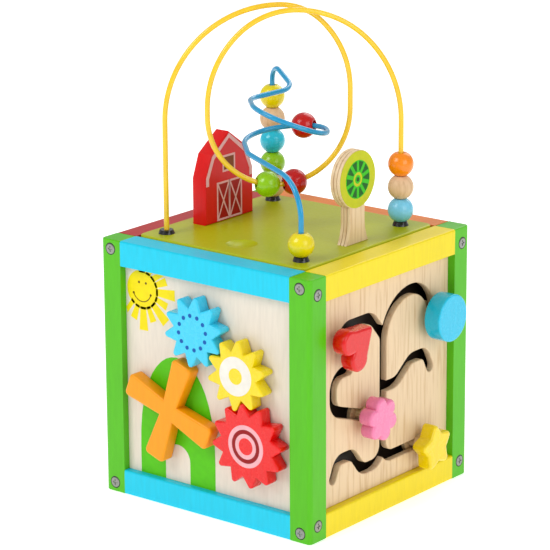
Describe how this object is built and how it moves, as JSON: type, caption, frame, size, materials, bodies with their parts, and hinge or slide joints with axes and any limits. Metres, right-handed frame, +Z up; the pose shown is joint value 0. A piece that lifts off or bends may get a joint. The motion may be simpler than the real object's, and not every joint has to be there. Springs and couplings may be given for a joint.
{
  "type": "activity cube with shape sorter",
  "caption": "Wooden activity cube with bead wires on a lift-off lid, meshing gears, a slot maze with sliding knobs, a shape sorter and a clock.",
  "frame": {"origin": "middle of the underside, on the surface that the cube stands on", "axes": "+Z up, -Y out of the gear panel, +X out of the slot-maze panel"},
  "size_m": [0.2129, 0.2043, 0.374],
  "materials": {
    "bare_wood": "clear lacquer",
    "barn_red": "satin paint on wood",
    "bead_blue": "satin paint on wood",
    "bead_green": "satin paint on wood",
    "bead_natural": "clear lacquer",
    "bead_orange": "satin paint on wood",
    "bead_pale": "satin paint on wood",
    "bead_red": "satin paint on wood",
    "bead_yellow": "satin paint on wood",
    "cap_black": "gloss black",
    "dark_board": "dark stained hardboard",
    "gear_blue": "satin paint on wood",
    "gear_red": "satin paint on wood",
    "gear_yellow": "satin paint on wood",
    "knob_cyan": "satin paint on wood",
    "knob_pink": "satin paint on wood",
    "knob_red": "satin paint on wood",
    "knob_yellow": "satin paint on wood",
    "lid_lime": "satin paint on wood",
    "panel_cream": "clear lacquer",
    "ply": "clear lacquer",
    "post_green": "satin paint on wood",
    "rail_blue": "satin paint on wood",
    "rail_orange": "satin paint on wood",
    "rail_red": "satin paint on wood",
    "rail_yellow": "satin paint on wood",
    "sail_orange": "satin paint on wood",
    "steel": "zinc plated",
    "wire_blue": "smooth gloss coating",
    "wire_yellow": "smooth gloss coating"
  },
  "bodies": {
    "frame": {"post_front_left": "post_green", "post_front_right": "post_green", "post_rear_right": "post_green", "post_rear_left": "post_green", "front_bottom_rail": "rail_blue", "front_top_rail": "rail_blue", "right_bottom_rail": "rail_yellow", "right_top_rail": "rail_yellow", "rear_bottom_rail": "rail_orange", "rear_top_rail": "rail_orange", "left_bottom_rail": "rail_red", "left_top_rail": "rail_red", "corner_screws": "steel", "bottom_board": "ply", "lid_battens": "bare_wood", "gear_panel": "panel_cream", "track_panel": "ply", "sorter_panel": "ply", "clock_panel": "panel_cream", "gear_axles": "bare_wood", "clock_pin": "bare_wood", "maze_backing": "dark_board"},
    "lid": {"lid_board": "lid_lime", "barn": "barn_red", "tree": "ply", "yellow_wire": "wire_yellow", "blue_wire": "wire_blue", "wire_end_caps": "cap_black"},
    "red_gear": {"red_gear": "gear_red"},
    "yellow_gear": {"yellow_gear": "gear_yellow"},
    "blue_gear": {"blue_gear": "gear_blue"},
    "windmill_sails": {"windmill_sails": "sail_orange"},
    "heart_slider": {"heart_knob": "knob_red", "heart_knob_stem": "bare_wood"},
    "flower_slider": {"flower_knob": "knob_pink", "flower_knob_stem": "bare_wood"},
    "circle_slider": {"circle_knob": "knob_cyan", "circle_knob_stem": "bare_wood"},
    "star_slider": {"star_knob": "knob_yellow", "star_knob_stem": "bare_wood"},
    "rear_natural_bead_low": {"rear_natural_bead_low": "bead_natural"},
    "rear_green_bead": {"rear_green_bead": "bead_green"},
    "rear_blue_bead": {"rear_blue_bead": "bead_blue"},
    "rear_natural_bead_high": {"rear_natural_bead_high": "bead_natural"},
    "rear_yellow_bead": {"rear_yellow_bead": "bead_yellow"},
    "right_pale_blue_bead": {"right_pale_blue_bead": "bead_pale"},
    "right_natural_bead": {"right_natural_bead": "bead_natural"},
    "right_orange_bead": {"right_orange_bead": "bead_orange"},
    "front_yellow_bead": {"front_yellow_bead": "bead_yellow"},
    "loop_red_bead": {"loop_red_bead": "bead_red"},
    "loop_green_bead": {"loop_green_bead": "bead_green"},
    "spiral_red_bead": {"spiral_red_bead": "bead_red"},
    "square_block": {"square_block": "gear_blue"},
    "round_block": {"round_block": "gear_red"},
    "triangle_block": {"triangle_block": "gear_yellow"},
    "hexagon_block": {"hexagon_block": "post_green"},
    "hour_hand": {"hour_hand": "gear_red"},
    "minute_hand": {"minute_hand": "gear_blue"}
  },
  "joints": [
    {"name": "lid_lift", "type": "slide", "parent": "frame", "child": "lid", "axis": [0, 0, 1], "range_m": [0, 0.2]},
    {"name": "red_gear_spin", "type": "hinge", "parent": "frame", "child": "red_gear", "pos_m": [0.04407, -0.099, 0.0663], "axis": [0, -1, 0], "continuous": true},
    {"name": "yellow_gear_spin", "type": "hinge", "parent": "frame", "child": "yellow_gear", "pos_m": [0.0349, -0.099, 0.1183], "axis": [0, -1, 0], "continuous": true},
    {"name": "blue_gear_spin", "type": "hinge", "parent": "frame", "child": "blue_gear", "pos_m": [-0.00581, -0.099, 0.14374], "axis": [0, -1, 0], "continuous": true},
    {"name": "sails_spin", "type": "hinge", "parent": "frame", "child": "windmill_sails", "pos_m": [-0.0313, -0.099, 0.0778], "axis": [0, -1, 0], "continuous": true},
    {"name": "heart_swing", "type": "hinge", "parent": "frame", "child": "heart_slider", "pos_m": [0.099, -0.043, 0.141], "axis": [1, 0, 0], "range_deg": [-70, 18]},
    {"name": "flower_slide", "type": "slide", "parent": "frame", "child": "flower_slider", "axis": [0, 0.9502, -0.3116], "range_m": [-0.028, 0.012]},
    {"name": "circle_swing", "type": "hinge", "parent": "frame", "child": "circle_slider", "pos_m": [0.099, 0.033, 0.138], "axis": [1, 0, 0], "range_deg": [0, 88]},
    {"name": "star_slide", "type": "slide", "parent": "frame", "child": "star_slider", "axis": [0, -1, 0], "range_m": [0, 0.032]},
    {"name": "rear_natural_bead_low_spin", "type": "hinge", "parent": "lid", "child": "rear_natural_bead_low", "pos_m": [-0.064, 0.064, 0.22], "axis": [0, 0, 1], "continuous": true},
    {"name": "rear_green_bead_spin", "type": "hinge", "parent": "lid", "child": "rear_green_bead", "pos_m": [-0.064, 0.064, 0.22], "axis": [0, 0, 1], "continuous": true},
    {"name": "rear_blue_bead_spin", "type": "hinge", "parent": "lid", "child": "rear_blue_bead", "pos_m": [-0.064, 0.064, 0.22], "axis": [0, 0, 1], "continuous": true},
    {"name": "rear_natural_bead_high_spin", "type": "hinge", "parent": "lid", "child": "rear_natural_bead_high", "pos_m": [-0.064, 0.064, 0.22], "axis": [0, 0, 1], "continuous": true},
    {"name": "rear_yellow_bead_spin", "type": "hinge", "parent": "lid", "child": "rear_yellow_bead", "pos_m": [-0.064, 0.064, 0.22], "axis": [0, 0, 1], "continuous": true},
    {"name": "right_pale_blue_bead_slide", "type": "slide", "parent": "lid", "child": "right_pale_blue_bead", "axis": [0, 0, 1], "range_m": [0, 0.005]},
    {"name": "right_natural_bead_slide", "type": "slide", "parent": "right_pale_blue_bead", "child": "right_natural_bead", "axis": [0, 0, 1], "range_m": [0, 0.005]},
    {"name": "right_orange_bead_slide", "type": "slide", "parent": "right_natural_bead", "child": "right_orange_bead", "axis": [0, 0, 1], "range_m": [0, 0.006]},
    {"name": "front_yellow_bead_slide", "type": "slide", "parent": "lid", "child": "front_yellow_bead", "axis": [0, 0, 1], "range_m": [0, 0.006]},
    {"name": "loop_red_bead_travel", "type": "hinge", "parent": "lid", "child": "loop_red_bead", "pos_m": [-0.00325, -0.00315, 0.2911], "axis": [-0.8023, 0.5969, 0], "range_deg": [-60, 0]},
    {"name": "loop_green_bead_travel", "type": "hinge", "parent": "lid", "child": "loop_green_bead", "pos_m": [-0.00382, -0.00392, 0.2911], "axis": [-0.8023, 0.5969, 0], "range_deg": [0, 60]},
    {"name": "spiral_red_bead_travel", "type": "hinge", "parent": "lid", "child": "spiral_red_bead", "pos_m": [0.00012, 0.00224, 0.27348], "axis": [-0.0748, -0.0748, 0.9944], "range_deg": [-20, 10]},
    {"name": "square_block_lift", "type": "slide", "parent": "frame", "child": "square_block", "axis": [0, 0, 1], "range_m": [0, 0.06]},
    {"name": "round_block_lift", "type": "slide", "parent": "frame", "child": "round_block", "axis": [0, 0, 1], "range_m": [0, 0.06]},
    {"name": "triangle_block_lift", "type": "slide", "parent": "frame", "child": "triangle_block", "axis": [0, 0, 1], "range_m": [0, 0.06]},
    {"name": "hexagon_block_lift", "type": "slide", "parent": "frame", "child": "hexagon_block", "axis": [0, 0, 1], "range_m": [0, 0.06]},
    {"name": "hour_hand_turn", "type": "hinge", "parent": "frame", "child": "hour_hand", "pos_m": [-0.096, 0, 0.1], "axis": [-1, 0, 0], "continuous": true},
    {"name": "minute_hand_turn", "type": "hinge", "parent": "frame", "child": "minute_hand", "pos_m": [-0.096, 0, 0.1], "axis": [-1, 0, 0], "continuous": true}
  ],
  "couplings": [
    {"joint": "yellow_gear_spin", "follows": "red_gear_spin", "ratio": -1.2},
    {"joint": "blue_gear_spin", "follows": "red_gear_spin", "ratio": 1.2}
  ]
}
